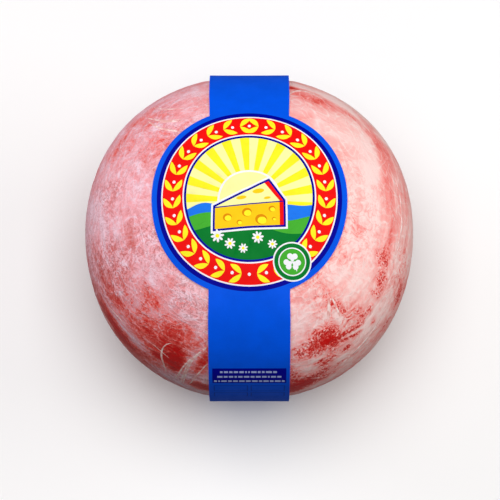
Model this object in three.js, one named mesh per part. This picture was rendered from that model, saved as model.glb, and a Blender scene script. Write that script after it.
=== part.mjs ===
// A flattened ball of semi-hard cheese, sealed in tight film and belted by a die-cut paper label.
// Millimetres, +Z up. The cheese rests on its flat underside, with the label's round front panel on top.
// The label is one strip: it widens to a disc over the top and its two ends lap on the lower back.

import * as THREE from "three";
import { mergeVertices } from "three/addons/utils/BufferGeometryUtils.js";

// Cheese
const CHEESE_RADIUS = 73;
const CHEESE_HALF_HEIGHT = 55.5;
const SQUARENESS = 2.35; // exponent of the meridian's superellipse, 2 being a plain ellipse
const REST_CUT = 1.9; // how much the weight has flattened the underside
// The mould and the film leave the plan slightly uneven, alike on left and right.
// Each wave is a share of the radius.
const PLAN_WAVES = [
  { lobes: 2, cosine: 0.006, sine: 0 },
  { lobes: 3, cosine: 0, sine: 0.0048 },
  { lobes: 4, cosine: -0.0101, sine: 0 },
];
const CHEESE_AROUND = 60;
const CHEESE_UP = 28;

// Label
const BAND_WIDTH = 35;
const PANEL_RADIUS = 42.4;
const PANEL_STRETCH = 1.033; // the disc is a little longer than it is wide
const LABEL_THICKNESS = 0.5;
const LABEL_CLEARANCE = 0.3;
const PANEL_EDGE_LIFT = 0.6; // the disc's left and right edges stand a little off the cheese
const LAP_LENGTH = 16;
const LAP_CENTRE_SHARE = 0.74; // place of the lap on the back, as a share of the way from top to bottom
const LAP_GAP = 0.2;
const LAP_RAMP = 7; // length over which the outer end climbs onto the inner one
// Over the panel the paper follows the cheese both ways; beyond it, it bends one way only.
const MOULDED_UP_TO = 34;
const STRAIGHT_FROM = 54;
const LABEL_ALONG = 112;
const LABEL_ACROSS = 10;

const FRONT = -Math.PI / 2;
const BACK = Math.PI / 2;

// One quarter turn above the equator and most of one below it, from the top pole down to the flat.
class MeridianArc extends THREE.Curve {
  constructor() {
    super();
    this.arcLengthDivisions = 1200;
    const restSine = ((CHEESE_HALF_HEIGHT - REST_CUT) / CHEESE_HALF_HEIGHT) ** (SQUARENESS / 2);
    this.lowest = -Math.asin(restSine);
  }

  getPoint(share, target = new THREE.Vector2()) {
    const angle = THREE.MathUtils.lerp(Math.PI / 2, this.lowest, share);
    const sine = Math.sin(angle);
    const out = Math.max(Math.cos(angle), 0) ** (2 / SQUARENESS);
    const up = Math.sign(sine) * Math.abs(sine) ** (2 / SQUARENESS);
    return target.set(CHEESE_RADIUS * out, CHEESE_HALF_HEIGHT * up);
  }
}

const meridian = new MeridianArc();
const meridianLength = meridian.getLength();
const restRadius = meridian.getPoint(1).x;
const restHeight = meridian.getPoint(1).y;
const halfLoop = meridianLength + restRadius;
const lapCentre = LAP_CENTRE_SHARE * halfLoop;

function planScale(azimuth) {
  return PLAN_WAVES.reduce(
    (scale, { lobes, cosine, sine }) =>
      scale + cosine * Math.cos(lobes * azimuth) + sine * Math.sin(lobes * azimuth),
    1,
  );
}

// The meridian's radius, height and outward normal at a distance from the top pole along the surface.
function onMeridian(distance) {
  if (distance >= meridianLength) {
    return { radius: halfLoop - distance, height: restHeight, normal: new THREE.Vector2(0, -1) };
  }
  const point = meridian.getPointAt(distance / meridianLength);
  const tangent = meridian.getTangentAt(distance / meridianLength);
  return { radius: point.x, height: point.y, normal: new THREE.Vector2(-tangent.y, tangent.x) };
}

// A point raised off the cheese at a distance from the top pole, along the meridian of an azimuth.
function onCheese(distance, azimuth, raised) {
  const { radius, height, normal } = onMeridian(distance);
  const out = radius * planScale(azimuth) + normal.x * raised;
  const up = height + normal.y * raised;
  return new THREE.Vector3(out * Math.cos(azimuth), out * Math.sin(azimuth), up);
}

// Distances along the label run from the top of the cheese: negative to the front, positive to the back.
// Past halfway round they carry on under the cheese and up the other side.
function wrapped(along) {
  const loop = 2 * halfLoop;
  return THREE.MathUtils.euclideanModulo(along + halfLoop, loop) - halfLoop;
}

function halfWidthAt(along) {
  const inPanel = PANEL_RADIUS ** 2 - (along / PANEL_STRETCH) ** 2;
  return Math.max(BAND_WIDTH / 2, Math.sqrt(Math.max(inPanel, 0)));
}

// The outer end of the strip climbs by one thickness and a gap where it laps over the inner end.
function lapRise(along) {
  const start = lapCentre - LAP_LENGTH / 2 - LAP_RAMP;
  const climb = THREE.MathUtils.smoothstep(along, start, start + LAP_RAMP);
  return climb * (LABEL_THICKNESS + LAP_GAP);
}

// A point of the label from its flat position, raised off the cheese.
function onLabel(across, along, raised) {
  const place = wrapped(along);
  const azimuth = place < 0 ? FRONT : BACK;
  const straight = onCheese(Math.abs(place), azimuth, raised).setX(across);
  const moulded = onCheese(Math.hypot(across, place), Math.atan2(place, across), raised);
  const bend = THREE.MathUtils.smoothstep(Math.abs(place), MOULDED_UP_TO, STRAIGHT_FROM);
  return moulded.lerp(straight, bend);
}

function closedGeometry(geometry) {
  geometry.deleteAttribute("normal");
  geometry.deleteAttribute("uv");
  return mergeVertices(geometry, 1e-4);
}

function makeCheese() {
  const profile = [new THREE.Vector2(0, restHeight)];
  for (let step = 0; step <= CHEESE_UP; step++) {
    profile.push(meridian.getPointAt(1 - step / CHEESE_UP));
  }
  profile[profile.length - 1].x = 0;

  const geometry = new THREE.LatheGeometry(profile, CHEESE_AROUND).rotateX(Math.PI / 2);
  const position = geometry.getAttribute("position");
  for (let i = 0; i < position.count; i++) {
    const scale = planScale(Math.atan2(position.getY(i), position.getX(i)));
    position.setXY(i, position.getX(i) * scale, position.getY(i) * scale);
  }

  const closed = closedGeometry(geometry);
  closed.computeVertexNormals();
  const material = new THREE.MeshStandardMaterial({ color: 0xe0a0a0, roughness: 0.42, metalness: 0 });
  const cheese = new THREE.Mesh(closed, material);
  cheese.name = "cheese_ball";
  return cheese;
}

function makeLabel() {
  const length = 2 * halfLoop + LAP_LENGTH;
  const outerEnd = lapCentre + LAP_LENGTH / 2;
  const box = new THREE.BoxGeometry(2, length, LABEL_THICKNESS, LABEL_ACROSS, LABEL_ALONG, 1);
  const geometry = closedGeometry(box.translate(0, outerEnd - length / 2, LABEL_THICKNESS / 2));
  const position = geometry.getAttribute("position");
  for (let i = 0; i < position.count; i++) {
    const side = position.getX(i);
    const along = position.getY(i);
    const lift = PANEL_EDGE_LIFT * (side * halfWidthAt(along) / PANEL_RADIUS) ** 4;
    const raised = LABEL_CLEARANCE + position.getZ(i) + lift + lapRise(along);
    const point = onLabel(side * halfWidthAt(along), along, raised);
    position.setXYZ(i, point.x, point.y, point.z);
  }

  geometry.computeVertexNormals();
  const material = new THREE.MeshStandardMaterial({ color: 0x0055e1, roughness: 0.45, metalness: 0 });
  const label = new THREE.Mesh(geometry, material);
  label.name = "label_band";
  return label;
}

// Stands the pieces on the floor, with the origin under the middle of their box.
function stand(pieces) {
  const box = new THREE.Box3().setFromObject(pieces);
  const middle = box.getCenter(new THREE.Vector3());
  const shift = new THREE.Vector3(-middle.x, -middle.y, -box.min.z);
  pieces.children.forEach((piece) => piece.position.add(shift));
  return pieces;
}

const cheeseBall = stand(new THREE.Group().add(makeCheese(), makeLabel()));

export default cheeseBall;
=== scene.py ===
"""A flattened ball of semi-hard cheese, sealed in tight hazy film and belted by a printed paper label.

It is laid out as a Blender add-on and run as a script. The property groups hold the sizes and colours,
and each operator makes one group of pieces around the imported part.
"""

import math
import random
from collections import namedtuple

import bpy
import numpy as np
from bpy.props import FloatProperty, FloatVectorProperty, IntProperty, PointerProperty
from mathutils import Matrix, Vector, kdtree
from mathutils.geometry import delaunay_2d_cdt


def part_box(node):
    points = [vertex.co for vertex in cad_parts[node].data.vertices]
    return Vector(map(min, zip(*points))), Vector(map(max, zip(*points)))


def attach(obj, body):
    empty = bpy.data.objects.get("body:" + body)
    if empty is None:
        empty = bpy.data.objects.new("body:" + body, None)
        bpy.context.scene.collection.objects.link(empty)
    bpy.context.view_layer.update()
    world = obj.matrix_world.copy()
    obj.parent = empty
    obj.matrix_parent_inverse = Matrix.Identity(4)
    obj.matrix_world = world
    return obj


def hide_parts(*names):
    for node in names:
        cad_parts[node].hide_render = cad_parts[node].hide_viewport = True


bl_info = {
    "name": "Ball of cheese",
    "version": (1, 0, 0),
    "blender": (4, 5, 0),
    "location": "View3D > Sidebar > Cheese",
    "description": "Makes a film-wrapped ball of cheese with a paper label round it",
    "category": "Object",
}

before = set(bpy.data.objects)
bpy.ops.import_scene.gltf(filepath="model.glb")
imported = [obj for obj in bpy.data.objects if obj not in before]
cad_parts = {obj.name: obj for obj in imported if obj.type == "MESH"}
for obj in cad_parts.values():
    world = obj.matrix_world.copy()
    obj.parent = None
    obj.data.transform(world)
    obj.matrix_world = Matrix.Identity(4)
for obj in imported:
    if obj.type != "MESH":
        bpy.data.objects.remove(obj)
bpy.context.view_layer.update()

MM = 0.001
FRONT = -math.pi / 2
BACK = math.pi / 2

# The plan's slow waves, as in the solids. Each is a share of the radius: lobes, cosine, sine.
PLAN_WAVES = ((2, 0.006, 0.0), (3, 0.0, 0.0048), (4, -0.0101, 0.0))


def plan_scale(azimuth):
    """How far out the cheese reaches at an azimuth, as a share of its radius."""
    waves = (cos * np.cos(lobes * azimuth) + sin * np.sin(lobes * azimuth) for lobes, cos, sin in PLAN_WAVES)
    return 1 + sum(waves)


def srgb(red, green, blue):
    """A colour as seen on a screen, 0 to 255, as the linear colour that Blender works in."""
    shares = (channel / 255 for channel in (red, green, blue))
    return tuple(s / 12.92 if s <= 0.04045 else ((s + 0.055) / 1.055) ** 2.4 for s in shares)


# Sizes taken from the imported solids

cheese_low, cheese_high = (Vector(corner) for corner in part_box("cheese_ball"))
REST_CUT = 1.9 * MM
CHEESE_RADIUS = (cheese_high.x - cheese_low.x) / 2 / float(plan_scale(0.0))
CHEESE_HALF_HEIGHT = (cheese_high.z - cheese_low.z + REST_CUT) / 2
LEAN = CHEESE_RADIUS * float(plan_scale(BACK) - plan_scale(FRONT)) / 2
CENTRE = Vector((0, (cheese_low.y + cheese_high.y) / 2 - LEAN, cheese_high.z - CHEESE_HALF_HEIGHT))


def millimetres(description, default):
    """A length that a user may change, with its default given in millimetres."""
    return FloatProperty(description=description, default=default * MM, unit="LENGTH", precision=5)


def tint(description, red, green, blue):
    """A colour that a user may change, with its default given as screen values."""
    default = srgb(red, green, blue)
    return FloatVectorProperty(description=description, default=default, subtype="COLOR", min=0, max=1)


class CheeseSettings(bpy.types.PropertyGroup):
    """The cheese's body and the film shrunk onto it."""

    radius: millimetres("Half the cheese's width", CHEESE_RADIUS / MM)
    half_height: millimetres("Half the height before resting", CHEESE_HALF_HEIGHT / MM)
    squareness: FloatProperty(description="2 is a plain ellipse", default=2.35, min=2, max=4)
    around: IntProperty(description="Columns of the film's mesh", default=400, min=60)
    up: IntProperty(description="Rows of the film's mesh", default=236, min=30)
    lump_height: millimetres("How far the rind swells and dips", 0.5)
    wrinkle_height: millimetres("How high the film's fine wrinkles stand", 0.26)
    seed: IntProperty(description="Draws another set of lumps and wrinkles", default=7)
    deep_red: tint("Rind seen through clinging film", 203, 10, 8)
    red: tint("Rind under nearly clinging film", 214, 62, 54)
    coral: tint("Rind under the thinnest haze", 234, 98, 89)
    salmon: tint("Rind under thin haze", 247, 140, 136)
    pink: tint("Rind under haze", 252, 182, 180)
    pale: tint("Film standing off the rind", 255, 222, 222)
    dusky: tint("Fine cracks in the rind", 176, 92, 94)
    # A grey mauve blended into the red halfway down the left side, which makes it duller.
    grey_mauve: tint("Veil over the red on the left", 150, 118, 122)
    cool_side_tint: tint("Tint on the left", 248, 240, 255)
    warm_side_tint: tint("Tint on the right", 255, 251, 246)


class FoldSettings(bpy.types.PropertyGroup):
    """The film's folds, where it was gathered and welded to itself."""

    width: millimetres("Widest part of a fold, most of it sunk", 2.0)
    small_folds: IntProperty(description="Short creases besides the main folds", default=18)
    seed: IntProperty(description="Draws another set of short creases", default=11)
    milky: tint("Doubled film", 252, 228, 224)
    clear: tint("Where the doubled film is clearer", 236, 172, 166)


class LabelSettings(bpy.types.PropertyGroup):
    """The paper label: a band with a disc over the top of the cheese."""

    band_width: millimetres("Width of the strip", 35)
    panel_radius: millimetres("Half the width of the disc on top", 42.4)
    panel_stretch: FloatProperty(description="The disc's length over its width", default=1.033)
    thickness: millimetres("Paper with its glue", 0.5)
    clearance: millimetres("Gap between film and paper", 0.3)
    edge_lift: millimetres("How far the disc's sides stand off", 0.6)
    ripple: millimetres("Slow waves of the paper", 0.12)
    mesh_step: millimetres("Spacing of the points between printed outlines", 2.2)
    blue: tint("The band", 0, 87, 233)
    navy: tint("Rings and outlines", 0, 0, 150)
    white: tint("Unprinted paper", 246, 246, 252)
    red: tint("The ornamented ring and the wedge's rind", 244, 16, 14)
    yellow: tint("Leaves and sky", 255, 244, 40)
    light_yellow: tint("Sun, rays and the wedge's top", 255, 252, 168)
    gold: tint("Cut face of the wedge", 255, 206, 20)
    amber: tint("Holes in the wedge", 226, 140, 0)
    sky_blue: tint("Far hills", 30, 120, 238)
    green: tint("Near hill and clover badge", 0, 122, 44)
    light_green: tint("Middle hill and the badge's field", 70, 176, 50)
    dark_blue: tint("Faint frames at the band's foot", 0, 66, 190)
    pale_blue: tint("Rows of dashes on the small panel", 176, 190, 240)


class StageSettings(bpy.types.PropertyGroup):
    """Floor, lights and camera."""

    elevation: FloatProperty(
        description="Camera's height above the horizon", default=math.radians(71.9), subtype="ANGLE"
    )
    distance: millimetres("From the camera to the cheese's middle", 16 * CHEESE_RADIUS / MM)
    overhead: FloatProperty(description="Watts of the light above", default=14.9, min=0)
    left: FloatProperty(description="Watts of the light on the left", default=6.3, min=0)
    right: FloatProperty(description="Watts of the light on the right", default=4.8, min=0)
    surroundings: FloatProperty(description="Strength of the even light", default=0.15, min=0)


# Shape of the cheese, shared by all pieces

MERIDIAN_STEPS = 4000


class Meridian:
    """Half of the cheese's upright section, measured along its surface from the top pole."""

    def __init__(self, cheese):
        power = 2 / cheese.squareness
        rest_share = (cheese.half_height - REST_CUT) / cheese.half_height
        angle = np.linspace(math.pi / 2, -math.asin(rest_share ** (1 / power)), MERIDIAN_STEPS + 1)
        radius = cheese.radius * np.maximum(np.cos(angle), 0) ** power
        radius[0] = 0
        height = cheese.half_height * np.sign(np.sin(angle)) * np.abs(np.sin(angle)) ** power
        steps = np.hypot(np.diff(radius), np.diff(height))
        self.distance = np.concatenate([[0], np.cumsum(steps)])
        normal_out = -np.gradient(height, self.distance)
        normal_up = np.gradient(radius, self.distance)
        self.rows = (radius, height, normal_out, normal_up)
        self.length = self.distance[-1]
        self.half_loop = self.length + radius[-1]

    def at(self, distance):
        """Radius, height and the outward normal's two parts at distances from the top pole."""
        rows = [np.interp(distance, self.distance, row) for row in self.rows]
        radius, height, normal_out, normal_up = rows
        beneath = distance >= self.length
        radius = np.where(beneath, self.half_loop - distance, radius)
        return radius, height, np.where(beneath, 0, normal_out), np.where(beneath, -1, normal_up)

    def point(self, distance, azimuth, raised=0.0):
        """Places raised off the cheese, at distances from the top pole along the meridians of azimuths."""
        radius, height, normal_out, normal_up = self.at(np.asarray(distance, float))
        out = radius * plan_scale(azimuth) + normal_out * raised
        up = height + normal_up * raised
        place = np.stack([out * np.cos(azimuth), out * np.sin(azimuth), up], axis=-1)
        return place + np.array(CENTRE)


def smoothstep(value, low, high):
    """0 up to low, 1 from high, and a smooth climb between them."""
    share = np.clip((value - low) / (high - low), 0, 1)
    return share * share * (3 - 2 * share)


# Helpers for node trees and meshes

SOCKET_KINDS = {
    float: "NodeSocketFloat",
    int: "NodeSocketInt",
    Vector: "NodeSocketVector",
    bpy.types.Material: "NodeSocketMaterial",
    bpy.types.Object: "NodeSocketObject",
}


class Value:
    """A node's result. Arithmetic with it, and its methods, add further nodes to its tree."""

    def __init__(self, socket):
        self.socket = socket

    def then(self, kind, inputs=(), output=0, **settings):
        """The result of a further node that takes this value as its first input."""
        return node_value(self.socket.id_data, kind, {0: self, **dict(inputs)}, output, **settings)

    def maths(self, operation, *others, clamp=False):
        """A Math node's result from this value and others."""
        return self.then("ShaderNodeMath", enumerate(others, 1), operation=operation, use_clamp=clamp)

    def vector_maths(self, operation, other=(0, 0, 0), scale=1.0):
        """A Vector Math node's result from this vector and another one or a scale."""
        return self.then("ShaderNodeVectorMath", {1: other, 3: scale}, operation=operation)

    def __add__(self, other):
        return self.maths("ADD", other)

    def __sub__(self, other):
        return self.maths("SUBTRACT", other)

    def __mul__(self, other):
        return self.maths("MULTIPLY", other)

    def __pow__(self, other):
        return self.maths("POWER", other)

    def __abs__(self):
        return self.maths("ABSOLUTE")

    def parts(self):
        """A vector's three parts."""
        return [Value(socket) for socket in self.then("ShaderNodeSeparateXYZ").socket.node.outputs]

    def scaled(self, *factors):
        """A vector with each part multiplied."""
        return self.vector_maths("MULTIPLY", factors)

    def centred(self, gain):
        """A noise from 0 to 1 as a swing this wide about nothing."""
        return (self - 0.5) * gain

    def ramp(self, low, high, to_low=0.0, to_high=1.0):
        """This value carried smoothly from one range to another, held at both ends."""
        inputs = {"From Min": low, "From Max": high, "To Min": to_low, "To Max": to_high}
        return self.then("ShaderNodeMapRange", inputs, interpolation_type="SMOOTHSTEP")

    def noise(self, scale=1.0, **inputs):
        """Soft noise from 0 to 1 over this vector. The node's other inputs go by their plain names."""
        named = {name.capitalize(): value for name, value in inputs.items()}
        return self.then("ShaderNodeTexNoise", {"Scale": scale, **named})

    def ridge(self, sharpness):
        """Thin lines along the middle level of this noise."""
        off_middle = abs(self * 2.0 - 1.0)
        return off_middle.maths("MULTIPLY_ADD", -1.0, 1.0, clamp=True) ** sharpness

    def blend(self, first, second, kind="MIX"):
        """Two colours blended by this share."""
        return self.then("ShaderNodeMix", {6: first, 7: second}, 2, data_type="RGBA", blend_type=kind)

    def colours(self, *stops):
        """This value as a colour between stops, each of them a level and a colour."""
        colour = self.then("ShaderNodeValToRGB")
        elements = colour.socket.node.color_ramp.elements
        while len(elements) < len(stops):
            elements.new(1.0)
        for element, (level, stop) in zip(elements, stops):
            element.position = level
            element.color = (*stop, 1.0)
        return colour


def feed(socket, value):
    """Joins a socket to value if that is a node's result, and sets it otherwise, colours opaque."""
    if isinstance(value, Value):
        socket.id_data.links.new(value.socket, socket)
    elif socket.type == "RGBA":
        socket.default_value = (*value, 1.0)
    else:
        socket.default_value = value


def add_node(tree, kind, inputs=(), **settings):
    """A new node with these settings and inputs."""
    node = tree.nodes.new(kind)
    for name, value in settings.items():
        setattr(node, name, value)
    for name, value in dict(inputs).items():
        feed(node.inputs[name], value)
    return node


def node_value(tree, kind, inputs=(), output=0, **settings):
    """The result of a new node with these settings and inputs."""
    return Value(add_node(tree, kind, inputs, **settings).outputs[output])


def combined(tree, x, y, z):
    """A vector from its three parts."""
    return node_value(tree, "ShaderNodeCombineXYZ", {"X": x, "Y": y, "Z": z})


def link(piece):
    """Puts an object in the scene."""
    bpy.context.scene.collection.objects.link(piece)
    return piece


def shape_tree(name, build, values):
    """A geometry tree with these values' names as inputs. The nodes between come from build."""
    tree = bpy.data.node_groups.new(name, "GeometryNodeTree")
    for label, value in values.items():
        tree.interface.new_socket(label, in_out="INPUT", socket_type=SOCKET_KINDS[type(value)])
    tree.interface.new_socket("Geometry", in_out="OUTPUT", socket_type="NodeSocketGeometry")
    given = {socket.name: Value(socket) for socket in add_node(tree, "NodeGroupInput").outputs}
    realized = build(tree, given).then("GeometryNodeSetShadeSmooth").then("GeometryNodeRealizeInstances")
    dressed = realized.then("GeometryNodeSetMaterial", {"Material": given["Material"]})
    add_node(tree, "NodeGroupOutput", {"Geometry": dressed})
    return tree


def grown_by(name, build, values):
    """The plain mesh object that a geometry tree makes from these input values."""
    tree = shape_tree(name, build, values)
    carrier = link(bpy.data.objects.new(name + "_carrier", bpy.data.meshes.new(name + "_carrier")))
    modifier = carrier.modifiers.new("shape", "NODES")
    modifier.node_group = tree
    for item in tree.interface.items_tree:
        if item.in_out == "INPUT":
            modifier[item.identifier] = values[item.name]
    depsgraph = bpy.context.evaluated_depsgraph_get()
    evaluated = carrier.evaluated_get(depsgraph)
    mesh = bpy.data.meshes.new_from_object(evaluated, preserve_all_data_layers=True, depsgraph=depsgraph)
    bpy.data.objects.remove(carrier)
    if len(mesh.polygons) == 0:
        raise RuntimeError(f"the tree for {name} made no faces")
    mesh.name = name
    return link(bpy.data.objects.new(name, mesh))


def hand_over(piece, material_slot, *nodes):
    """Makes a piece ride on the body in place of these solids."""
    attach(piece, "root")
    if nodes:
        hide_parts(*nodes)


def new_material(name):
    """A material and its node tree."""
    material = bpy.data.materials.new(name)
    material.use_nodes = True
    return material, material.node_tree


def object_place(tree):
    """Object coordinates, in a material's tree."""
    return node_value(tree, "ShaderNodeTexCoord", output="Object")


def mesh_attribute(tree, name, output="Fac"):
    """An attribute of the mesh, in a material's tree."""
    return node_value(tree, "ShaderNodeAttribute", output=output, attribute_name=name)


def coat(tree, colour, roughness, specular, height=None, depth=0.0):
    """Feeds a material's shader. A height makes bump of this depth in metres."""
    inputs = {"Base Color": colour, "Roughness": roughness, "Specular IOR Level": specular}
    if height is not None:
        bumps = {"Height": height, "Distance": depth, "Strength": 1.0}
        inputs["Normal"] = node_value(tree, "ShaderNodeBump", bumps)
    for name, value in inputs.items():
        feed(tree.nodes["Principled BSDF"].inputs[name], value)


# The cheese in its film

# Where the film clings to the rind, so that the red shows. Each row has the azimuth in degrees and the
# distance from the top pole in mm, the length around and the width down in mm, the turn in degrees, and
# how closely the film clings. Where that is below zero, it stands off as a pale veil.
CONTACT_PATCHES = (
    # Back right
    (66, 61.5, 9, 3.8, -6, 0.48), (54, 64.5, 10, 3.8, -10, 0.48), (46, 68, 6, 3, -6, 0.34),
    (60, 57, 16, 4, -8, 0.2), (72.5, 66.3, 3, 1.8, 0, 1.2), (55, 72.5, 22, 2.8, -2, -0.3),
    # Right
    (38, 74, 8, 4.4, 3, 0.4), (28, 71, 9, 4.5, 0, 0.36), (15, 68.5, 9, 4.5, 0, 0.3),
    (0, 65.5, 14, 5, 0, 0.25), (-15, 66.5, 9, 5, 0, 0.36), (-20, 66, 4.5, 6, 0, 0.5),
    (0, 80, 32, 4, 0, 0.25), (14, 57, 18, 7, 0, -0.25),
    # Front right
    (-60, 49, 12, 7, 20, 0.12), (-49.5, 61.5, 1.8, 4, -8, 0.62), (-54.5, 58, 6, 3, 0, 0.22),
    (-51, 65.5, 1.3, 3.4, -10, -0.7), (-56.5, 63.5, 2.4, 2.2, -30, -0.4), (-43.5, 70.5, 6, 5, 0, 0.36),
    (-27.5, 71, 4.5, 5, 0, 0.65), (-33.5, 72.5, 4, 4.5, 0, 0.75), (-39.5, 76, 3, 3, 0, 0.5),
    (-40.3, 82, 2, 2, 0, 0.9), (-37, 77, 6, 2.2, -20, -0.5), (-43, 80.5, 4, 2.4, -20, -0.5),
    (-26, 92, 6, 4.5, 0, 1.0), (-60, 71.5, 7.5, 6.5, 30, 1.2), (-54, 79, 7, 5, 0, 0.5),
    (-75.5, 87.5, 4, 7, 0, 0.6), (-68, 74, 8, 4, 0, 0.8), (-56.5, 75, 5, 2.6, 0, 0.7),
    (-49.5, 76.1, 5.5, 1.0, 16, 1.1), (-48.7, 79.9, 5, 0.9, 16, 0.9), (-50, 78, 6, 0.8, 16, -0.6),
    (-64, 83.4, 3.6, 1.3, -20, 0.9), (-62, 86.2, 3.6, 1.3, -20, 0.9), (-53, 84.4, 3, 1.6, -30, 0.8),
    (-72, 100, 11, 5.5, -30, 2.0),
    # Back left
    (132, 70, 8, 4, 0, 0.3), (126, 65, 14, 7, -4, 0.05), (148, 63, 24, 9, -3, 0.2),
    (150, 71, 9, 7, 0, 0.28), (134, 58, 6, 5, 0, 0.18), (175, 76, 14, 5, 0, 0.12),
    (140, 45.5, 7, 4, 0, 0.3), (152, 48, 8, 7, 0, 0.28),
    # Left
    (-168, 54, 16, 5, -4, 0.12), (-160, 57, 8, 3, 16, 0.14), (176, 53, 10, 6, 0, -0.15),
    (-154, 78.5, 18, 3.4, 0, 0.5), (-162, 68, 8, 6, 0, -0.15), (-172, 84, 34, 7, 0, -0.16),
    (-137, 60.5, 10, 7, 0, 0.38), (-160, 92, 20, 6, 0, -0.2), (-139, 88.3, 16, 1.3, 0, -0.5),
    # Front left
    (-131, 74.5, 20, 8, -3, 0.78), (-134, 83.5, 7, 3.5, 0, 0.4), (-117, 73, 12, 9, 0, 0.5),
    (-114.5, 86.5, 4, 6, 0, 0.8), (-116.5, 66.5, 9, 4, 0, 0.35), (-118, 83.5, 5.6, 7, 10, 1.5),
    (-117, 91, 3, 4, 0, 0.9), (-125, 87.5, 4, 5, 0, 1.0), (-142, 97, 20, 8, 8, 1.7),
    (-110.6, 78, 1.3, 7, 24, -0.5), (-113, 91, 2.2, 9, 8, -0.5), (-118, 105, 9, 4, 0, -0.3),
    (-106.8, 77.5, 2.6, 7, 0, 1.0), (-108.8, 85, 2.8, 5, 8, 0.75), (-124.5, 87, 2.4, 3.5, 0, 0.5),
    (-106.5, 101, 7, 5, 0, 2.0),
    # Sides, back and underside
    (75, 96, 24, 8, 4, 0.8), (112, 104, 26, 8, -6, 0.7), (160, 98, 26, 7, 5, 0.5),
    (-178, 122, 34, 12, -8, 0.8), (4, 112, 30, 9, 6, 0.7), (-58, 128, 26, 12, 0, 0.8),
    (48, 132, 30, 12, 10, 0.8), (-122, 136, 28, 12, -10, 0.8), (132, 142, 24, 12, 0, 0.7),
)

# The label needs the film low and even under it and this far beside it.
LABEL_MARGIN = 3 * MM
RELIEF_UNDER_LABEL = 0.15
# The way down the cheese's side, as a share of the same angle's arc on a full sphere.
FLATTENED_ARC = 0.92


def cheese_shape(tree, given):
    """Nodes for a round cheese with a superelliptic section, lumps and wrinkled film."""
    radius, half_height, power = given["Radius"], given["Half Height"], given["Section Power"]
    inputs = {"Segments": given["Around"], "Rings": given["Up"], "Radius": 1.0}
    ball = node_value(tree, "GeometryNodeMeshUVSphere", inputs)
    x, y, z = node_value(tree, "GeometryNodeInputPosition").parts()
    azimuth = y.maths("ARCTAN2", x)
    cosine = azimuth.maths("COSINE")
    sine = azimuth.maths("SINE")
    swell = 1.0
    for lobes, in_cosine, in_sine in PLAN_WAVES:
        lobed = azimuth * lobes
        swell = lobed.maths("COSINE") * in_cosine + swell
        swell = lobed.maths("SINE") * in_sine + swell
    out = (x * x + y * y).maths("SQRT") ** power * radius * swell
    level = abs(z) ** power * z.maths("SIGN") * half_height
    level = level.maths("MAXIMUM", given["Rest Cut"] - half_height)
    formed = combined(tree, out * cosine, out * sine, level)

    half_width, disc_radius = given["Label Half Width"], given["Label Disc Radius"]
    beside_band = abs(formed.parts()[0]).ramp(half_width, half_width + LABEL_MARGIN)
    beyond_disc = out.ramp(disc_radius, disc_radius + LABEL_MARGIN)
    free = beside_band * beyond_disc.maths("MAXIMUM", level.maths("LESS_THAN", 0.0))
    moved = formed.vector_maths("ADD", given["Noise Shift"])
    lumps = (moved.noise(26.0, detail=1.0) - 0.5) * given["Lump Height"]
    down = z.maths("ARCCOSINE") * (radius * FLATTENED_ARC)
    around = combined(tree, cosine * radius, sine * radius, down)
    creases = around.scaled(70, 70, 330).noise(detail=2.0, distortion=0.6).ridge(4.0)
    crumple = moved.noise(120.0, detail=1.5, distortion=0.4).ridge(5.0)
    wrinkles = (creases + crumple) * given["Wrinkle Height"] * 0.5
    relief = (lumps + wrinkles) * free.ramp(0.0, 1.0, RELIEF_UNDER_LABEL, 1.0)

    for name, value, kind in (
        ("around_cheese", around, "FLOAT_VECTOR"),
        ("film_relief", relief, "FLOAT"),
        ("film_wrinkle", wrinkles, "FLOAT"),
    ):
        inputs = {"Name": name, "Value": value}
        ball = ball.then("GeometryNodeStoreNamedAttribute", inputs, data_type=kind, domain="POINT")
    body = ball.then("GeometryNodeSetPosition", {"Position": formed})
    height = node_value(tree, "GeometryNodeInputNamedAttribute", {"Name": "film_relief"})
    push = node_value(tree, "GeometryNodeInputNormal").vector_maths("SCALE", scale=height)
    return body.then("GeometryNodeSetPosition", {"Offset": push.vector_maths("ADD", given["Centre"])})


def clinging_at(places, meridian):
    """How closely the film clings to the rind at each place, from the contact patches."""
    total = np.zeros(len(places))
    for azimuth, distance, length, width, turn, strength in CONTACT_PATCHES:
        azimuth = math.radians(azimuth)
        turn = math.radians(turn)
        middle = meridian.point(distance * MM, azimuth)
        down = meridian.point(distance * MM + MM, azimuth) - middle
        down /= np.linalg.norm(down)
        around = np.array([-math.sin(azimuth), math.cos(azimuth), 0])
        offset = places - middle
        lengthwise = offset @ (around * math.cos(turn) + down * math.sin(turn)) / (length * MM)
        crosswise = offset @ (down * math.cos(turn) - around * math.sin(turn)) / (width * MM)
        depth = offset @ np.cross(around, down) / (length * MM)
        total += strength * np.exp(-(lengthwise**2) - crosswise**2 - depth**2)
    return total


def broad_redness(tree, around, clouds):
    """How red the rind shows in large: where the film clings, in clouds, and in bands near the rim."""
    bands = around.scaled(13, 13, 120).noise(distortion=0.7)
    near_rim = around.parts()[2].ramp(45 * MM, 62 * MM)
    clinging = mesh_attribute(tree, "film_contact")
    return clinging * 0.62 + 0.22 + clouds.centred(0.6) + bands.centred(0.6) * near_rim


# How much milkier a metre of wrinkle would make the film
WRINKLE_MILKINESS = 400.0


def milky_lines_and_painted_highlights(tree, place, around, redness):
    """Pale lines along the film's creases. The ridged noise lines are painted highlights, fainter over the
    paler rind, and the stored wrinkles add the film's real milkiness where it stands off.
    """
    creases = around.scaled(24, 24, 90).noise(detail=0.6, distortion=2.2).ridge(30.0)
    net = place.noise(62.0, detail=1.2, distortion=3.0).ridge(34.0)
    lines = (creases + net) * redness.ramp(0.2, 0.6, 0.5, 1.0) * 0.3
    return lines + mesh_attribute(tree, "film_wrinkle") * WRINKLE_MILKINESS


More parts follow.
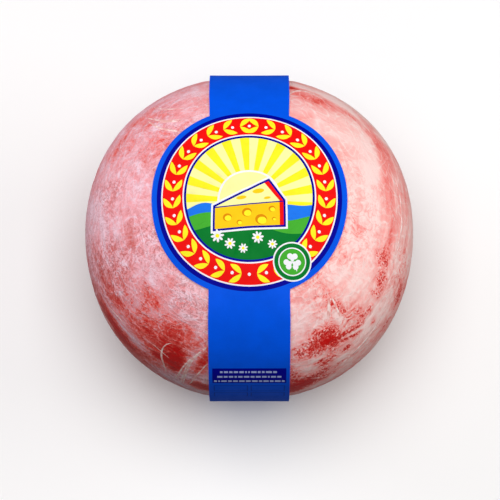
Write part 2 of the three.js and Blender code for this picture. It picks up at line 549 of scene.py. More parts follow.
def rind_colour(cheese, redness):
    """The rind through the film, from pale where it stands off to deep red where it clings."""
    return redness.colours(
        (0.0, cheese.pale),
        (0.22, cheese.pink),
        (0.42, cheese.salmon),
        (0.57, cheese.coral),
        (0.74, cheese.red),
        (1.0, cheese.deep_red),
    )


def left_dulling_share(across, along, redness):
    """Where the red is dulled towards a grey mauve, halfway down the left side."""
    level = along.ramp(-45 * MM, -20 * MM) * along.ramp(30 * MM, 10 * MM)
    return level * across.ramp(-35 * MM, -10 * MM, 0.3, 0.0) * redness.ramp(0.22, 0.42)


def crack_share(place, to_the_right, areas, redness):
    """Where the rind has fine cracks: more of them on the left, in some areas and in the paler rind."""
    lines = place.noise(220.0, detail=3.0, roughness=0.6, distortion=2.0).ridge(22.0)
    lines = lines * to_the_right.ramp(-20 * MM, 50 * MM, 0.75, 0.12)
    return lines * areas.ramp(0.4, 0.6, 0.45, 1.1) * redness.ramp(0.3, 0.6, 1.0, 0.15)


def film_material(cheese):
    """Red rind under tight, hazy film: pale where the film stands off, deep red where it clings."""
    material, tree = new_material("film_over_rind")
    place = object_place(tree)
    around = mesh_attribute(tree, "around_cheese", "Vector")
    across, along, _ = place.parts()
    clouds = place.noise(34.0, distortion=1.2)
    areas = place.noise(25.0, detail=1.0)
    marbling = place.noise(100.0, detail=5.0, roughness=0.68, distortion=2.2)
    streaks = around.scaled(60, 60, 210).noise(detail=4.0, roughness=0.6, distortion=1.3)
    crumple = place.noise(300.0, detail=4.0, roughness=0.7, distortion=1.2)
    blots = place.noise(135.0, detail=1.0, distortion=0.8)
    grains = place.noise(1150.0, roughness=0.6)
    veins = place.noise(150.0, detail=3.0, roughness=0.55, distortion=1.6).ridge(18.0)
    to_the_right = clouds * (30 * MM) + across
    # The film lies smoother towards the back.
    to_the_back = along + across * 0.6 + clouds * (40 * MM)
    roughly = to_the_back.ramp(30 * MM, 55 * MM, 1.15, 0.42)

    redness = broad_redness(tree, around, clouds)
    pattern = (marbling.centred(0.9) + streaks.centred(0.3) + crumple.centred(0.6)) * roughly
    redness = (pattern + blots.centred(0.35)) * redness.ramp(0.1, 0.5, 0.45, 1.0) + redness
    sandy = to_the_right.ramp(0.0, 30 * MM, 0.6, 1.9) * roughly * roughly
    half_clinging = redness.ramp(0.3, 0.55) * redness.ramp(1.15, 0.85)
    redness = grains.centred(1.0) * sandy * half_clinging + redness
    redness = veins * areas.ramp(0.45, 0.62) * roughly * 0.36 + redness
    # milky is partly painted highlight along the creases and partly the film's real milkiness over its
    # wrinkles. It pales the colour.
    milky = milky_lines_and_painted_highlights(tree, place, around, redness)
    redness = redness - milky

    # The film's colour is tinted cooler towards the left and warmer towards the right.
    side_tint = to_the_right.ramp(-30 * MM, 60 * MM).blend(cheese.cool_side_tint, cheese.warm_side_tint)
    colour = redness.ramp(0.2, 0.7, 1.0, 0.0).blend(rind_colour(cheese, redness), side_tint, "MULTIPLY")
    colour = left_dulling_share(across, along, redness).blend(colour, cheese.grey_mauve)
    colour = (crack_share(place, to_the_right, areas, redness) * roughly).blend(colour, cheese.dusky)
    roughness = crumple * 0.12 + redness.ramp(0.2, 1.0, 0.46, 0.32)
    relief = marbling * 0.5 + streaks * 0.5 + crumple * 0.6 + milky * 1.5
    coat(tree, colour, roughness, 0.25, relief, 0.3 * MM)
    return material


class CHEESE_OT_cheese(bpy.types.Operator):
    """Make the cheese in its film, with the rind showing through where the film clings"""

    bl_idname = "cheese.cheese"
    bl_label = "Film-wrapped cheese"

    def execute(self, context):
        """Grows the body from its tree and marks where the film clings."""
        cheese = context.scene.cheese_body
        label = context.scene.cheese_label
        values = {
            "Centre": CENTRE,
            "Radius": cheese.radius,
            "Half Height": cheese.half_height,
            "Section Power": 2 / cheese.squareness,
            "Rest Cut": REST_CUT,
            "Around": cheese.around,
            "Up": cheese.up,
            "Lump Height": cheese.lump_height,
            "Wrinkle Height": cheese.wrinkle_height,
            "Noise Shift": Vector((cheese.seed, cheese.seed, 0)),
            "Label Half Width": label.band_width / 2,
            "Label Disc Radius": label.panel_radius * label.panel_stretch,
            "Material": film_material(cheese),
        }
        body = grown_by("film_wrapped_cheese", cheese_shape, values)
        places = np.empty(len(body.data.vertices) * 3)
        body.data.vertices.foreach_get("co", places)
        contact = body.data.attributes.new("film_contact", "FLOAT", "POINT")
        contact.data.foreach_set("value", clinging_at(places.reshape(-1, 3), Meridian(cheese)))
        hand_over(body, "film_over_rind", "cheese_ball")
        return {"FINISHED"}


# Folds of the film

Fold = namedtuple("Fold", "strands spread places")

# The main folds as seen from above. Each is a bundle of strands spread over this many mm, and its
# places are azimuths in degrees and distances from the top pole in mm.
MAIN_FOLDS = (
    Fold(2, 0.7, ((-120, 74), (-122, 76), (-123, 80.5), (-122.5, 86), (-121, 91), (-119.5, 99))),
    Fold(4, 1.6, ((-106.5, 70), (-109, 74.5), (-111, 79), (-112, 84), (-112.8, 92), (-114, 106))),
    Fold(3, 2.4, ((-107.5, 72), (-111, 77), (-113.5, 84), (-114.5, 92), (-116, 103))),
    Fold(2, 1.0, ((-105.5, 79), (-108, 87), (-109.4, 95), (-111, 104))),
    Fold(3, 1.2, ((73, 56), (71, 64), (65, 68), (58, 66))),
    Fold(3, 0.9, ((-49, 55), (-50, 60), (-50.5, 66))),
    Fold(3, 1.0, ((-50.5, 55), (-53, 60), (-56, 64))),
    Fold(2, 1.0, ((137.5, 64), (138, 57), (136.5, 51), (132.5, 44.5))),
    Fold(2, 1.2, ((136, 67), (135, 58), (131, 52.5), (127, 49.5))),
    Fold(2, 1.0, ((130, 72), (129.5, 66), (127, 60), (122, 56))),
    Fold(2, 1.4, ((-33, 84), (-40, 88), (-50, 91), (-60, 97))),
    Fold(2, 2.0, ((-20, 73), (-8, 76), (6, 76), (18, 74))),
)
# Shares of the fold's width, of its spread and of its half width
STRAND_WIDTH = 0.72
SMALL_FOLD_WIDTH = 0.42
STRAND_WOBBLE = 0.08
FOLD_SUNK_SHARE = 0.82
FOLD_POINTS = 20
FOLD_SIDES = 8
FOLD_MARGIN = 2.5 * MM


def folds_shape(tree, given):
    """Nodes that lay each path on a surface and run a tapered ridge along it."""
    paths, surface = (
        node_value(tree, "GeometryNodeObjectInfo", {"Object": given[name]}, "Geometry")
        for name in ("Paths", "Surface")
    )
    even = paths.then("GeometryNodeResampleCurve", {"Count": given["Points"]}, mode="COUNT")
    nearest = surface.then("GeometryNodeProximity", target_element="FACES")
    laid = even.then("GeometryNodeSetPosition", {"Position": nearest})
    share = node_value(tree, "GeometryNodeSplineParameter")
    taper = (share * math.pi).maths("SINE").maths("MAXIMUM", 0.02) ** 0.6
    own_width = node_value(tree, "GeometryNodeInputRadius")
    radius = taper * own_width * given["Width"] * 0.5
    # Each ridge is sunk towards the cheese's middle, so that only a flat crown of it shows.
    here = node_value(tree, "GeometryNodeInputPosition")
    inward = given["Centre"].vector_maths("SUBTRACT", here).vector_maths("NORMALIZE")
    sinking = inward.vector_maths("SCALE", scale=radius * given["Sunk Share"])
    sunk = laid.then("GeometryNodeSetPosition", {"Offset": sinking})
    section = {"Resolution": given["Sides"], "Radius": 1.0}
    profile = node_value(tree, "GeometryNodeCurvePrimitiveCircle", section, mode="RADIUS")
    inputs = {"Profile Curve": profile, "Scale": radius, "Fill Caps": True}
    return sunk.then("GeometryNodeCurveToMesh", inputs)


def under_label(azimuth, distance, label, meridian):
    """Whether a place on the cheese lies under the label or close beside it."""
    aside = abs(meridian.point(distance, azimuth)[0] - CENTRE.x)
    in_band = aside < label.band_width / 2 + FOLD_MARGIN
    return in_band or distance < label.panel_radius * label.panel_stretch + FOLD_MARGIN


def fold_strands(fold, meridian, draw):
    """The strands of a main fold: lines beside its path that drift apart or together, each with a width."""
    places = [(math.radians(azimuth), distance * MM) for azimuth, distance in fold.places]
    last = len(places) - 1
    strands = []
    for _ in range(fold.strands):
        start = draw.uniform(-0.5, 0.5) * fold.spread * MM
        end = draw.uniform(-0.5, 0.5) * fold.spread * MM
        strand = []
        for number, (azimuth, distance) in enumerate(places):
            before, after = places[max(number - 1, 0)], places[min(number + 1, last)]
            reach = float(meridian.at(distance)[0])
            along = Vector(((after[0] - before[0]) * reach, after[1] - before[1])).normalized()
            share = number / last
            aside = start * (1 - share) + end * share + draw.gauss(0, STRAND_WOBBLE) * fold.spread * MM
            strand.append((azimuth - along.y * aside / reach, distance + along.x * aside))
        first = draw.choice((0, 0, 1)) if last > 2 else 0
        strands.append((strand[first:], STRAND_WIDTH * draw.uniform(0.6, 1.3)))
    return strands


def small_folds(folds, label, meridian):
    """Short creases scattered over the film, mostly running round the cheese."""
    draw = random.Random(folds.seed)
    creases = []
    while len(creases) < folds.small_folds:
        azimuth = draw.uniform(-math.pi, math.pi)
        distance = draw.uniform(82, 150) * MM
        length = draw.uniform(5, 15) * MM
        slope = math.radians(draw.gauss(0, 28))
        curl = draw.uniform(-1, 1) * 0.9 * MM
        reach = max(float(meridian.at(distance)[0]), 20 * MM)
        crease = []
        for share in (-0.5, -0.2, 0.2, 0.5):
            aside = azimuth + share * length * math.cos(slope) / reach
            lower = distance + share * length * math.sin(slope) + curl * math.cos(share * math.pi)
            crease.append((aside, lower))
        if not any(under_label(*place, label, meridian) for place in crease):
            creases.append(crease)
    return creases


def paths_object(creases, meridian):
    """A curve object with one spline for each crease, given as (places, width share)."""
    curve = bpy.data.curves.new("fold_paths", "CURVE")
    curve.dimensions = "3D"
    for places, width in creases:
        spline = curve.splines.new("NURBS")
        spline.points.add(len(places) - 1)
        spline.order_u = 3
        spline.use_endpoint_u = True
        for point, (azimuth, distance) in zip(spline.points, places):
            point.co = (*meridian.point(distance, azimuth), 1.0)
            point.radius = width
    return link(bpy.data.objects.new("fold_paths", curve))


def fold_material(folds):
    """Doubled film: milky, with a soft shine."""
    material, tree = new_material("folded_film")
    patches = object_place(tree).noise(420.0, detail=3.0)
    colour = patches.ramp(0.4, 0.62).blend(folds.clear, folds.milky)
    coat(tree, colour, patches.ramp(0.3, 0.7, 0.28, 0.45), 0.5, patches, 0.1 * MM)
    return material


class CHEESE_OT_folds(bpy.types.Operator):
    """Lay the folds of the film on the cheese, from the paths of the main ones and scattered short ones"""

    bl_idname = "cheese.folds"
    bl_label = "Film folds"

    def execute(self, context):
        """Draws the paths and grows a ridge along each."""
        folds = context.scene.cheese_folds
        meridian = Meridian(context.scene.cheese_body)
        draw = random.Random(folds.seed)
        creases = [strand for fold in MAIN_FOLDS for strand in fold_strands(fold, meridian, draw)]
        short = small_folds(folds, context.scene.cheese_label, meridian)
        creases += [(crease, SMALL_FOLD_WIDTH) for crease in short]
        paths = paths_object(creases, meridian)
        values = {
            "Paths": paths,
            "Surface": bpy.data.objects["film_wrapped_cheese"],
            "Centre": CENTRE,
            "Width": folds.width,
            "Sunk Share": FOLD_SUNK_SHARE,
            "Points": FOLD_POINTS,
            "Sides": FOLD_SIDES,
            "Material": fold_material(folds),
        }
        ridges = grown_by("film_folds", folds_shape, values)
        bpy.data.objects.remove(paths)
        hand_over(ridges, "film_over_rind")
        return {"FINISHED"}


# The label's flat artwork. Places are in mm on the flat paper, across the band and along it, from the
# disc's middle, with the back of the cheese at the top.

RING_OUTER = 40.0
RING_INNER = 28.0
NAVY_RING = 2.0
WHITE_LINE = 0.6
PICTURE_RADIUS = 27.0

Field = namedtuple("Field", "ink outline within", defaults=(None,))


def polar(radius, angle, x=0.0, y=0.0):
    """The point at this distance and angle from a middle."""
    return x + radius * math.cos(angle), y + radius * math.sin(angle)


def circle(x, y, radius, points=None):
    """Points of a circle, about one each 0.8 mm unless their number is given."""
    count = points or max(10, round(2 * math.pi * radius / 0.8))
    return [polar(radius, 2 * math.pi * i / count, x, y) for i in range(count)]


def placed(outline, angle, x=0.0, y=0.0, scale=1.0):
    """An outline scaled and turned about its origin, then moved."""
    cosine = math.cos(angle) * scale
    sine = math.sin(angle) * scale
    return [(x + px * cosine - py * sine, y + px * sine + py * cosine) for px, py in outline]


def ellipse(x, y, long, short, angle=0.0):
    """Points of an ellipse with these half lengths."""
    count = max(10, round(2 * math.pi * long / 0.7))
    steps = (2 * math.pi * i / count for i in range(count))
    return placed([(long * math.cos(step), short * math.sin(step)) for step in steps], angle, x, y)


def rectangle(x, y, width, height):
    """Corners of an upright rectangle from its lower left corner."""
    return [(x, y), (x + width, y), (x + width, y + height), (x, y + height)]


def leaf(length, width, bend=0.0):
    """An almond leaf from the origin along the first axis, bent a little to one side."""
    steps = [(i / 8, math.sin(math.pi * i / 8)) for i in range(9)]
    lower = [(length * share, bend * sine - width * sine**0.8) for share, sine in steps]
    upper = [(length * share, bend * sine + width * sine**0.8) for share, sine in steps]
    return lower + upper[-2:0:-1]


def grown(outline, distance):
    """An outline moved outwards, its corners kept. The points run anticlockwise."""
    result = []
    for before, here, after in zip(outline[-1:] + outline[:-1], outline, outline[1:] + outline[:1]):
        first = Vector((here[0] - before[0], here[1] - before[1])).normalized()
        second = Vector((after[0] - here[0], after[1] - here[1])).normalized()
        outward = Vector((first.y + second.y, -first.x - second.x)).normalized()
        stretch = max(outward.dot(Vector((first.y, -first.x))), 0.5)
        result.append((here[0] + outward.x * distance / stretch, here[1] + outward.y * distance / stretch))
    return result


def wave_line(left, right, level, swells):
    """A wavy line from left to right: each swell is its height, its waves and its shift."""
    line = []
    for i in range(61):
        x = left + (right - left) * i / 60
        turn = 2 * math.pi * (x - left) / (right - left)
        rise = sum(height * math.sin(waves * turn + shift) for height, waves, shift in swells)
        line.append((x, level + rise))
    return line


def ring_fields():
    """The disc's rings, and the wreath of leaves and pearls on the red one."""
    red_outer = RING_OUTER - NAVY_RING - WHITE_LINE
    red_inner = RING_INNER + WHITE_LINE
    middle = (red_outer + red_inner) / 2
    fields = [
        Field("navy", circle(0, 0, RING_OUTER)),
        Field("white", circle(0, 0, RING_OUTER - NAVY_RING)),
        Field("red", circle(0, 0, red_outer)),
    ]
    stations = 14
    for side in (-1, 1):
        for station in range(stations):
            angle = -math.pi / 2 + side * math.pi * (station + 0.45) / stations
            forward = angle + side * math.pi / 2
            for spread, bend in ((-0.62, -0.5), (0.62, 0.5)):
                shape = placed(leaf(6.4, 1.15, bend), forward + spread, *polar(middle, angle))
                fields.append(Field("yellow", shape))
    for station in range(stations * 2):
        angle = -math.pi / 2 + math.pi * (station + 1) / stations
        fields.append(Field("white", circle(*polar(middle, angle), 0.7, 10)))
    return fields + [Field("white", circle(0, 0, red_inner)), Field("navy", circle(0, 0, RING_INNER))]


def landscape_fields():
    """The picture behind the wedge: a sun with rays, far hills in blue and near ones in green."""
    frame_line = circle(0, 0, PICTURE_RADIUS)
    fields = [Field("yellow", frame_line)]
    sun = (0.0, -2.0)
    rays = 22
    far = 34.0
    width = math.pi / rays
    for ray in range(rays):
        corners = [sun] + [polar(far, 2 * width * ray + turn, *sun) for turn in (0, width)]
        fields.append(Field("light_yellow", corners, frame_line))
    fields.append(Field("white", circle(*sun, 13.6), frame_line))
    fields.append(Field("light_yellow", circle(*sun, 12.8), frame_line))
    low_corners = [(30.0, -30.0), (-30.0, -30.0)]
    for ink, level, swells in (
        ("sky_blue", -4.5, ((1.5, 1.5, 0.6), (0.7, 3.5, 2.0))),
        ("light_green", -8.5, ((1.4, 1.1, 2.6), (0.5, 2.6, 1.0))),
        ("green", -14.0, ((1.7, 0.9, 4.2), (0.4, 3.1, 0.0))),
    ):
        line = wave_line(30.0, -30.0, level, swells)
        fields.append(Field(ink, line + low_corners[::-1], frame_line))
    return fields


def wedge_fields():
    """A wedge of cheese with round holes and a strip of red rind, outlined in navy and white."""
    tip = (-14.5, -4.5)
    back = (8.0, 6.5)
    near = (14.5, -1.8)
    foot = (14.5, -12.0)
    tip_foot = (-14.5, -13.8)
    outline = [tip, tip_foot, foot, near, back]
    rind = 1.7
    fields = [
        Field("white", grown(outline, 1.7)),
        Field("navy", grown(outline, 0.9)),
        Field("light_yellow", [tip, near, back]),
        Field("gold", [tip, tip_foot, foot, near]),
        Field("red", [back, (back[0] - rind, back[1] - 0.8), (near[0] - rind, near[1] + 0.05), near]),
        Field("red", [near, (near[0] - rind, near[1] + 0.05), (foot[0] - rind, foot[1] - 0.1), foot]),
        Field("navy", [tip, (tip[0], tip[1] - 0.5), (near[0], near[1] - 0.5), near]),
    ]
    for x, y, long, short in (
        (-9.2, -9.0, 1.9, 1.7),
        (-4.2, -11.2, 1.2, 1.1),
        (-1.0, -7.0, 2.1, 1.9),
        (5.0, -9.9, 2.5, 2.2),
        (9.6, -5.4, 1.5, 1.3),
        (10.4, -9.6, 0.9, 0.8),
    ):
        fields.append(Field("amber", ellipse(x, y, long, short)))
        fields.append(Field("yellow", ellipse(x + 0.16 * long, y - 0.2 * short, 0.76 * long, 0.7 * short)))
    for x, y, long, short in ((-3.4, -0.6, 2.2, 0.8), (3.8, 2.2, 2.5, 1.0), (7.6, -0.7, 1.5, 0.55)):
        fields.append(Field("gold", ellipse(x, y, long, short, 0.15)))
    return fields


def daisy_fields(x, y, size, start):
    """A daisy with eight petals."""
    petals = [
        Field("white", placed(ellipse(0.62, 0, 0.42, 0.2), start + math.pi * i / 4, x, y, size))
        for i in range(8)
    ]
    return petals + [Field("yellow", circle(x, y, 0.32 * size, 10))]


def badge_fields():
    """A small round badge with a white clover on green."""
    x, y = 18.2, -27.2
    rings = (("white", 8.2), ("green", 7.6), ("white", 5.9), ("light_green", 5.4))
    fields = [Field(ink, circle(x, y, radius)) for ink, radius in rings]
    for side in range(3):
        angle = math.pi / 2 + side * 2 * math.pi / 3
        for spread in (-0.42, 0.42):
            fields.append(Field("white", circle(*polar(2.5, angle + spread, x, y), 1.25)))
        fields.append(Field("white", placed(leaf(2.6, 0.9), angle, x, y)))
    fields.append(Field("white", placed(leaf(4.6, 0.35, 0.5), -1.1, x, y)))
    return fields


def small_panel_fields():
    """The navy panel low on the front with rows of plain dashes, and faint frames under it."""
    fields = [Field("navy", rectangle(-15.9, -88.5, 31.8, 10.6))]
    draw = random.Random(3)
    for level, half in ((-80.9, 12.6), (-84.2, 13.8), (-87.6, 15.2)):
        x = -half
        while x < half - 1.0:
            width = min(draw.uniform(0.7, 2.6), half - x)
            fields.append(Field("pale_blue", rectangle(x, level, width, 1.25)))
            x += width + 0.55
    for level in (-97.0, -105.0):
        for left in (-15.4, 0.6):
            fields.append(Field("dark_blue", rectangle(left, level, 14.8, 6.2)))
            fields.append(Field("blue", rectangle(left + 0.45, level + 0.45, 13.9, 5.3)))
    return fields


def artwork(stretch):
    """Every printed field of the label, in the order of printing, the disc's ones stretched with it."""
    fields = ring_fields() + landscape_fields() + wedge_fields()
    for x, y, size, start in (
        (-13.4, -16.6, 2.7, 0.1),
        (-8.2, -20.0, 2.3, 0.3),
        (3.6, -17.6, 2.5, 0.2),
        (9.8, -20.2, 2.0, 0.0),
        (-2.6, -22.2, 2.0, 0.3),
    ):
        fields += daisy_fields(x, y, size, start)
    fields += badge_fields()
    return [stretched(field, stretch) for field in fields] + small_panel_fields()


def stretched(field, stretch):
    """A field made longer along the label."""
    outline = [(x, y * stretch) for x, y in field.outline]
    within = field.within and [(x, y * stretch) for x, y in field.within]
    return Field(field.ink, outline, within)


# The label's shape

LAP_LENGTH = 16 * MM
LAP_CENTRE_SHARE = 0.74
LAP_GAP = 0.2 * MM
LAP_RAMP = 7 * MM
# Over the disc the paper follows the cheese both ways, and beyond it bends one way only.
MOULDED_UP_TO = 34 * MM
STRAIGHT_FROM = 54 * MM
# The paper's slow waves, each length over two pi, and how unevenly the disc's sides stand off.
WAVE_ALONG = 23 * MM
WAVE_ACROSS = 19 * MM
WAVE_DRIFT = 60 * MM
UNEVEN_LIFT = 0.3
# The cheese's weight presses the paper flat between these lengths before the underside.
PRESSED_FROM = 30 * MM
PRESSED_BY = 10 * MM
# The points that fill the flat mesh: its rows' spacing and their room from the outlines, in mesh steps.
ROW_SPACING = 0.87
ROOM = 0.42
# Straight stretches of the disc's cut edge, on each side
DISC_STEPS = 110


def label_outline(label, meridian):
    """The label's cut outline on the flat, in mm: a strip that widens to a disc."""
    half = label.band_width / 2 / MM
    radius = label.panel_radius / MM
    last = (LAP_CENTRE_SHARE * meridian.half_loop + LAP_LENGTH / 2) / MM
    first = last - (2 * meridian.half_loop + LAP_LENGTH) / MM
    widest = math.acos(half / radius)
    arc = [widest * (1 - 2 * i / DISC_STEPS) for i in range(DISC_STEPS + 1)]
    tall = radius * label.panel_stretch
    right = [(radius * math.cos(angle), -tall * math.sin(angle)) for angle in arc]
    left = [(-radius * math.cos(angle), tall * math.sin(angle)) for angle in arc]
    corners = [(-half, first), (half, first), *right, (half, last), (-half, last), *left]
    sides = zip(corners, corners[1:] + corners[:1])
    return [point for start, end in sides for point in line_points(start, end, label.mesh_step / MM)]


def line_points(start, end, step):
    """Even points about a step apart from start to end, the end left out."""
    count = max(1, round(math.dist(start, end) / step))
    return [tuple(a + (b - a) * i / count for a, b in zip(start, end)) for i in range(count)]


def flat_mesh(label, meridian, fields):
    """Points in mm, triangles and ink names of the flat label, cut along every printed outline."""
    border = label_outline(label, meridian)
    clips = []
    for field in fields:
        if field.within is not None and field.within not in clips:
            clips.append(field.within)
    outlines = [border] + clips + [field.outline for field in fields]
    points = [Vector(point) for outline in outlines for point in outline]
    faces = []
    for outline in outlines:
        start = faces[-1][-1] + 1 if faces else 0
        faces.append(list(range(start, start + len(outline))))
    points += filling_points(border, points, label.mesh_step / MM, label.panel_stretch)
    places, _, triangles, _, _, sources = delaunay_2d_cdt(points, [], faces, 0, 1e-6, True)

    first_field = 1 + len(clips)
    kept, inks = [], []
    for triangle, source in zip(triangles, sources):
        if 0 not in source:
            continue
        ink = "blue"
        for number in sorted(source):
            if number < first_field:
                continue
            field = fields[number - first_field]
            if field.within is None or 1 + clips.index(field.within) in source:
                ink = field.ink
        kept.append(triangle)
        inks.append(ink)
    return np.array([tuple(place) for place in places]), np.array(kept), inks


def filling_points(border, taken, step, stretch):
    """A grid of points between the outlines, so that the flat mesh can bend everywhere."""
    tree = kdtree.KDTree(len(taken))
    for number, point in enumerate(taken):
        tree.insert((point.x, point.y, 0), number)
    tree.balance()
    across = [x for x, _ in border]
    along = [y for _, y in border]
    radius = max(across)
    half = -border[0][0]
    points = []
    row = 0
    y = min(along) + step / 2
    while y < max(along):
        reach = max(half, math.sqrt(max(radius**2 - (y / stretch) ** 2, 0)))
        x = -reach + step * (0.5 if row % 2 else 0.95)
        while x < reach - 0.4 * step:
            if tree.find((x, y, 0))[2] > ROOM * step:
                points.append(Vector((x, y)))
            x += step
        y += step * ROW_SPACING
        row += 1
    return points


def on_label(flat, raised_by, label, meridian):
    """Places of flat label points, in metres, raised by this much above the paper's underside."""
    across = flat[:, 0] * MM
    along = flat[:, 1] * MM
    loop = 2 * meridian.half_loop
    place = np.mod(along + meridian.half_loop, loop) - meridian.half_loop
    distance = np.hypot(across, place)
    lift = label.edge_lift * (across / label.panel_radius) ** 4
    waves = label.ripple * np.sin(place / WAVE_ALONG + 1.0)
    waves *= np.sin(across / WAVE_ACROSS + place / WAVE_DRIFT + 0.5)
    lap_start = LAP_CENTRE_SHARE * meridian.half_loop - LAP_LENGTH / 2 - LAP_RAMP
    lap = smoothstep(along, lap_start, lap_start + LAP_RAMP) * (label.thickness + LAP_GAP)
    beneath = smoothstep(np.abs(place), meridian.length - PRESSED_FROM, meridian.length - PRESSED_BY)
    lift = lift * (1 + UNEVEN_LIFT * np.sin(5 * np.arctan2(place, across) + 0.8) * (1 - beneath))
    raised = label.clearance + lift + waves * (1 - beneath) + lap + raised_by
    straight = meridian.point(np.abs(place), np.where(place < 0, FRONT, BACK), raised)
    straight[:, 0] = across
    moulded = meridian.point(distance, np.arctan2(place, across), raised)
    bend = smoothstep(np.abs(place), MOULDED_UP_TO, STRAIGHT_FROM)[:, None]
    return moulded * (1 - bend) + straight * bend


def border_edges(triangles):
    """The edges that only one triangle has, in that triangle's direction."""
    seen = set()
    for a, b, c in triangles:
        seen.update(((a, b), (b, c), (c, a)))
    return [(a, b) for a, b in seen if (b, a) not in seen]


def paper_material(name, colour):
    """Coated paper in one ink: a fine mottle, a soft shine and the paper's grain."""
    material, tree = new_material("label_" + name)
    flat = node_value(tree, "ShaderNodeUVMap", uv_map="flat_label")
    mottle = flat.noise(95.0, detail=3.0, roughness=0.6)
    grain = flat.noise(1700.0)
    darker = [channel * 0.9 for channel in colour]
    shaded = (grain * 0.25 + mottle).ramp(0.4, 0.85).blend(colour, darker)
    coat(tree, shaded, mottle.ramp(0.3, 0.7, 0.48, 0.58), 0.05, mottle * 2.0 + grain, 0.04 * MM)
    return material


INKS = (
    "blue navy white red yellow light_yellow gold amber sky_blue green light_green dark_blue pale_blue"
).split()


class CHEESE_OT_label(bpy.types.Operator):
    """Cut the paper label along its artwork, wrap it round the cheese and print it"""

    bl_idname = "cheese.label"
    bl_label = "Paper label"

    def execute(self, context):
        """Builds the label flat, bends both its faces and closes its cut edges."""
        label = context.scene.cheese_label
        meridian = Meridian(context.scene.cheese_body)
        flat, triangles, inks = flat_mesh(label, meridian, artwork(label.panel_stretch))
        outer = on_label(flat, label.thickness, label, meridian)
        inner = on_label(flat, 0.0, label, meridian)
        count = len(flat)
        edge = border_edges(triangles)
        faces = triangles.tolist()
        faces += (triangles[:, ::-1] + count).tolist()
        faces += [(b, a, a + count, b + count) for a, b in edge]

        mesh = bpy.data.meshes.new("paper_label")
        mesh.from_pydata(np.concatenate([outer, inner]).tolist(), [], faces)
        for ink in INKS:
            mesh.materials.append(paper_material(ink, getattr(label, ink)))
        numbers = [INKS.index(ink) for ink in inks] + [INKS.index("white")] * (len(faces) - len(inks))
        mesh.polygons.foreach_set("material_index", numbers)
        mesh.polygons.foreach_set("use_smooth", [True] * (2 * len(triangles)) + [False] * len(edge))
        corners = np.empty(len(mesh.loops), int)
        mesh.loops.foreach_get("vertex_index", corners)
        layout = mesh.uv_layers.new(name="flat_label")
        layout.data.foreach_set("uv", (flat[corners % count] * MM).ravel())
        mesh.validate()
        mesh.set_sharp_from_angle(angle=math.radians(50))
        piece = link(bpy.data.objects.new("paper_label", mesh))
        hand_over(piece, "label_paper", "label_band")
        return {"FINISHED"}


# Stage

FLOOR_SIZE = 4.0
SENSOR = 36.0
IMAGE_WIDTH = 500
# Where the photograph has the cheese's middle, and how far its rim lies from there at the middle's depth.
MIDDLE_PIXEL = (249.3, 237.2)
RADIUS_PIXELS = 163.8


def floor_material():
    """Pale matt studio floor."""
    material, tree = new_material("studio_floor")
    colour = object_place(tree).noise(3.0).blend((0.93, 0.93, 0.93), (0.96, 0.96, 0.96))
    coat(tree, colour, 0.9, 0.1)
    return material


def add_floor():
    """A wide plain floor under the cheese."""
    half = FLOOR_SIZE / 2
    mesh = bpy.data.meshes.new("floor")
    corners = [(-half, -half, 0), (half, -half, 0), (half, half, 0), (-half, half, 0)]
    mesh.from_pydata(corners, [], [(0, 1, 2, 3)])
    mesh.materials.append(floor_material())
    floor = link(bpy.data.objects.new("floor", mesh))
    floor.visible_diffuse = False
    floor.visible_glossy = False


def add_soft_light(name, place, size, watts, colour):
    """A square soft light that faces the cheese's middle."""
    data = bpy.data.lights.new(name, "AREA")
    data.shape = "SQUARE"
    data.size = size
    data.energy = watts
    data.color = colour
    light = link(bpy.data.objects.new(name, data))
    light.location = CENTRE + Vector(place)
    light.rotation_euler = (-Vector(place)).to_track_quat("-Z", "Y").to_euler()


def add_camera(stage, cheese):
    """A camera at the photograph's angle, with the cheese as large and as placed as there."""
    data = bpy.data.cameras.new("camera")
    data.sensor_width = SENSOR
    data.lens = RADIUS_PIXELS * stage.distance / cheese.radius * SENSOR / IMAGE_WIDTH
    data.shift_x = (IMAGE_WIDTH / 2 - MIDDLE_PIXEL[0]) / IMAGE_WIDTH
    data.shift_y = (MIDDLE_PIXEL[1] - IMAGE_WIDTH / 2) / IMAGE_WIDTH
    data.clip_start = 0.01
    camera = link(bpy.data.objects.new("camera", data))
    toward = Vector((0, -math.cos(stage.elevation), math.sin(stage.elevation)))
    camera.location = CENTRE + toward * stage.distance
    camera.rotation_euler = (math.pi / 2 - stage.elevation, 0, 0)
    bpy.context.scene.camera = camera


def add_surroundings(strength):
    """Even, pale light from all round."""
    world = bpy.data.worlds.new("studio")
    world.use_nodes = True
    backdrop = world.node_tree.nodes["Background"]
    backdrop.inputs["Color"].default_value = (1.0, 1.0, 1.0, 1)
    backdrop.inputs["Strength"].default_value = strength
    bpy.context.scene.world = world


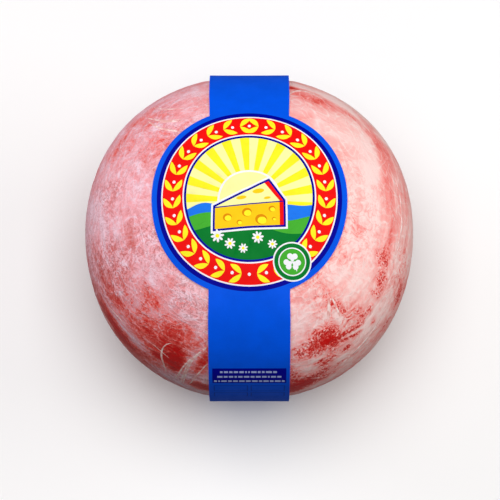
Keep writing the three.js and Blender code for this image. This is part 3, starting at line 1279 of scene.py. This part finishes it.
class CHEESE_OT_stage(bpy.types.Operator):
    """Set up the floor, the soft lights and the camera"""

    bl_idname = "cheese.stage"
    bl_label = "Stage"

    def execute(self, context):
        """Adds everything that isn't part of the cheese."""
        stage = context.scene.cheese_stage
        context.scene.view_settings.view_transform = "Standard"
        add_floor()
        add_soft_light("overhead", (0.0, 0.0, 1.3), 1.1, stage.overhead, (1.0, 1.0, 1.0))
        add_soft_light("left", (-1.05, 0.6, 0.3), 0.8, stage.left, (1.0, 0.91, 0.94))
        add_soft_light("right", (1.0, 0.08, 0.4), 0.8, stage.right, (1.0, 0.97, 0.94))
        add_surroundings(stage.surroundings)
        add_camera(stage, context.scene.cheese_body)
        return {"FINISHED"}


# Add-on

SETTINGS = (
    ("cheese_body", CheeseSettings, "Cheese and film"),
    ("cheese_folds", FoldSettings, "Film folds"),
    ("cheese_label", LabelSettings, "Paper label"),
    ("cheese_stage", StageSettings, "Stage"),
)
OPERATORS = (CHEESE_OT_cheese, CHEESE_OT_folds, CHEESE_OT_label, CHEESE_OT_stage)


class CHEESE_PT_panel(bpy.types.Panel):
    """Sizes, colours and one button for each group of pieces."""

    bl_idname = "CHEESE_PT_panel"
    bl_label = "Ball of cheese"
    bl_space_type = "VIEW_3D"
    bl_region_type = "UI"
    bl_category = "Cheese"

    def draw(self, context):
        """Lists each group's settings above its button."""
        for (attribute, settings, title), operator in zip(SETTINGS, OPERATORS):
            box = self.layout.box()
            box.label(text=title)
            group = getattr(context.scene, attribute)
            for name in settings.__annotations__:
                box.prop(group, name)
            box.operator(operator.bl_idname)


def register():
    """Adds the settings, the operators and the panel to Blender."""
    for attribute, settings, _ in SETTINGS:
        bpy.utils.register_class(settings)
        setattr(bpy.types.Scene, attribute, PointerProperty(type=settings))
    for operator in OPERATORS:
        bpy.utils.register_class(operator)
    bpy.utils.register_class(CHEESE_PT_panel)


def unregister():
    """Takes them all out again."""
    bpy.utils.unregister_class(CHEESE_PT_panel)
    for operator in reversed(OPERATORS):
        bpy.utils.unregister_class(operator)
    for attribute, settings, _ in reversed(SETTINGS):
        delattr(bpy.types.Scene, attribute)
        bpy.utils.unregister_class(settings)


def main():
    """Makes the whole cheese and its stage."""
    register()
    bpy.ops.cheese.cheese()
    bpy.ops.cheese.folds()
    bpy.ops.cheese.label()
    bpy.ops.cheese.stage()


if __name__ == "__main__":
    main()
